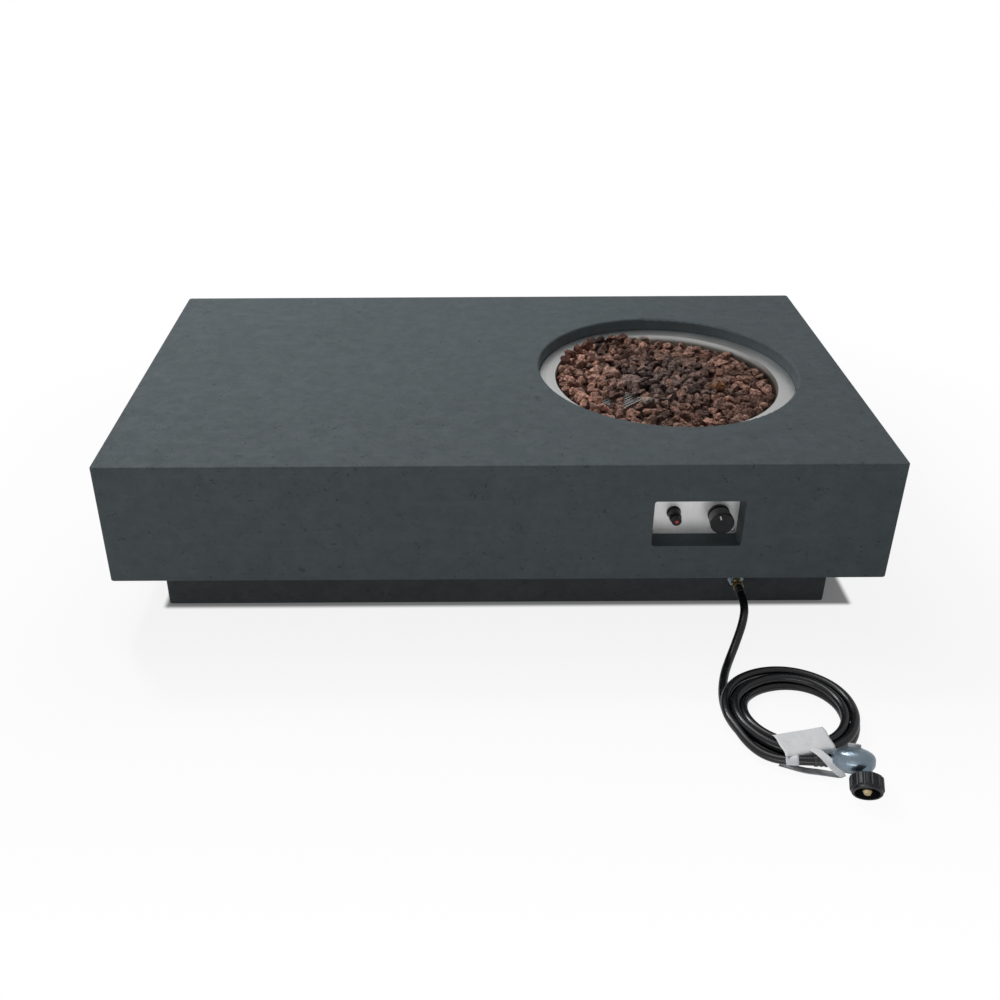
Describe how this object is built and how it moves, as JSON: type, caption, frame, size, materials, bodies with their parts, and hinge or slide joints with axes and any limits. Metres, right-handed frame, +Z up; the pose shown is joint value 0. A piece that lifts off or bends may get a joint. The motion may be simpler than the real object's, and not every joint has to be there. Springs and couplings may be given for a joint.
{
  "type": "gas fire table",
  "caption": "Low rectangular concrete fire table with a round gas burner full of lava stones, a recessed knob and igniter, and a coiled gas hose with a regulator.",
  "frame": {"origin": "on the floor under the middle of the table", "axes": "+X along the table's length towards the burner, -Y towards the side with the controls, +Z up"},
  "size_m": [1.422, 1.2591, 0.35],
  "materials": {
    "cast_concrete": "matt cast concrete, dark slate grey",
    "base_concrete": "matt cast concrete, near black",
    "plated_steel": "zinc plated",
    "foot_rubber": "matt",
    "pan_steel": "circular brushed stainless",
    "brass": "machined",
    "white_ceramic": "glazed",
    "lava": "porous, red brown to grey",
    "panel_steel": "straight brushed stainless",
    "cast_alloy": "die cast",
    "spring_steel": "drawn wire",
    "black_plastic": "fine grained",
    "white_line": "paint filled",
    "red_dot": "gloss",
    "battery_case": "plain sleeve",
    "zinc": "bright die cast zinc",
    "gas_tube": "drawn",
    "copper": "drawn copper",
    "wire_cover": "silicone",
    "black_crimp": "black plated",
    "hose_rubber": "satin",
    "blank_label": "coated",
    "blank_tag": "coated, blank",
    "vent_plastic": "satin",
    "wheel_plastic": "satin"
  },
  "bodies": {
    "table": {"burner_legs": "plated_steel", "burner_pan": "pan_steel", "burner_ring": "pan_steel", "burner_tube": "gas_tube", "concrete_plinth": "base_concrete", "concrete_shell": "cast_concrete", "control_panel": "panel_steel", "coupling_nipple": "brass", "gas_orifice": "brass", "gas_valve_body": "cast_alloy", "hose_coil": "hose_rubber", "hose_ferrule_inlet": "black_crimp", "hose_ferrule_regulator": "black_crimp", "hose_label_band": "blank_label", "hose_tag": "blank_tag", "hose_tail": "hose_rubber", "hose_tube": "hose_rubber", "igniter_battery": "battery_case", "igniter_bezel": "black_plastic", "igniter_body": "black_plastic", "igniter_lock_nut": "black_plastic", "ignition_wire": "wire_cover", "inlet_fitting": "zinc", "inlet_flare_nut": "brass", "inlet_lock_nut": "zinc", "knob_bezel": "black_plastic", "lava_rock_bed": "lava", "lava_rocks_top": "lava", "mixer_nut": "plated_steel", "mixer_tube": "plated_steel", "panel_screws": "plated_steel", "pilot_bracket": "pan_steel", "pilot_guard": "pan_steel", "plinth_bolts": "plated_steel", "plinth_inserts": "plated_steel", "regulator_body": "zinc", "regulator_bonnet": "zinc", "regulator_vent_cap": "vent_plastic", "rubber_feet": "foot_rubber", "safety_magnet": "brass", "spark_electrode": "white_ceramic", "supply_tube": "gas_tube", "thermocouple_lead": "copper", "thermocouple_tip": "pan_steel", "valve_lock_nut": "plated_steel", "valve_spring": "spring_steel"},
    "valve_push": {"valve_thrust_pin": "brass"},
    "knob": {"valve_stem": "brass", "control_knob": "black_plastic", "knob_pointer": "white_line"},
    "igniter_cap_group": {"igniter_cap": "black_plastic", "igniter_spring": "spring_steel"},
    "igniter_button_group": {"igniter_button": "black_plastic", "igniter_button_dot": "red_dot"},
    "air_shutter_sleeve": {"air_shutter": "plated_steel"},
    "hand_wheel": {"coupling_nut": "wheel_plastic"}
  },
  "joints": [
    {"name": "knob_press", "type": "slide", "parent": "table", "child": "valve_push", "axis": [0, 1, 0], "range_m": [0, 0.003], "stiffness_N_per_m": 3000, "deforming": ["valve_spring"]},
    {"name": "knob_turn", "type": "hinge", "parent": "valve_push", "child": "knob", "pos_m": [0.4, -0.3875, 0.225], "axis": [0, -1, 0], "range_deg": [0, 180]},
    {"name": "igniter_cap_off", "type": "slide", "parent": "table", "child": "igniter_cap_group", "axis": [0, -1, 0], "range_m": [0, 0.035]},
    {"name": "igniter_press", "type": "slide", "parent": "igniter_cap_group", "child": "igniter_button_group", "axis": [0, 1, 0], "range_m": [0, 0.0032], "stiffness_N_per_m": 1500, "deforming": ["igniter_spring"]},
    {"name": "air_shutter_turn", "type": "hinge", "parent": "table", "child": "air_shutter_sleeve", "pos_m": [0.3555, -0.133, 0.19], "axis": [0, 1, 0], "range_deg": [0, 60]},
    {"name": "hand_wheel_turn", "type": "hinge", "parent": "table", "child": "hand_wheel", "pos_m": [0.5484, -0.8442, 0.0228], "axis": [-0.1899, -0.9247, -0.3299], "continuous": true}
  ]
}
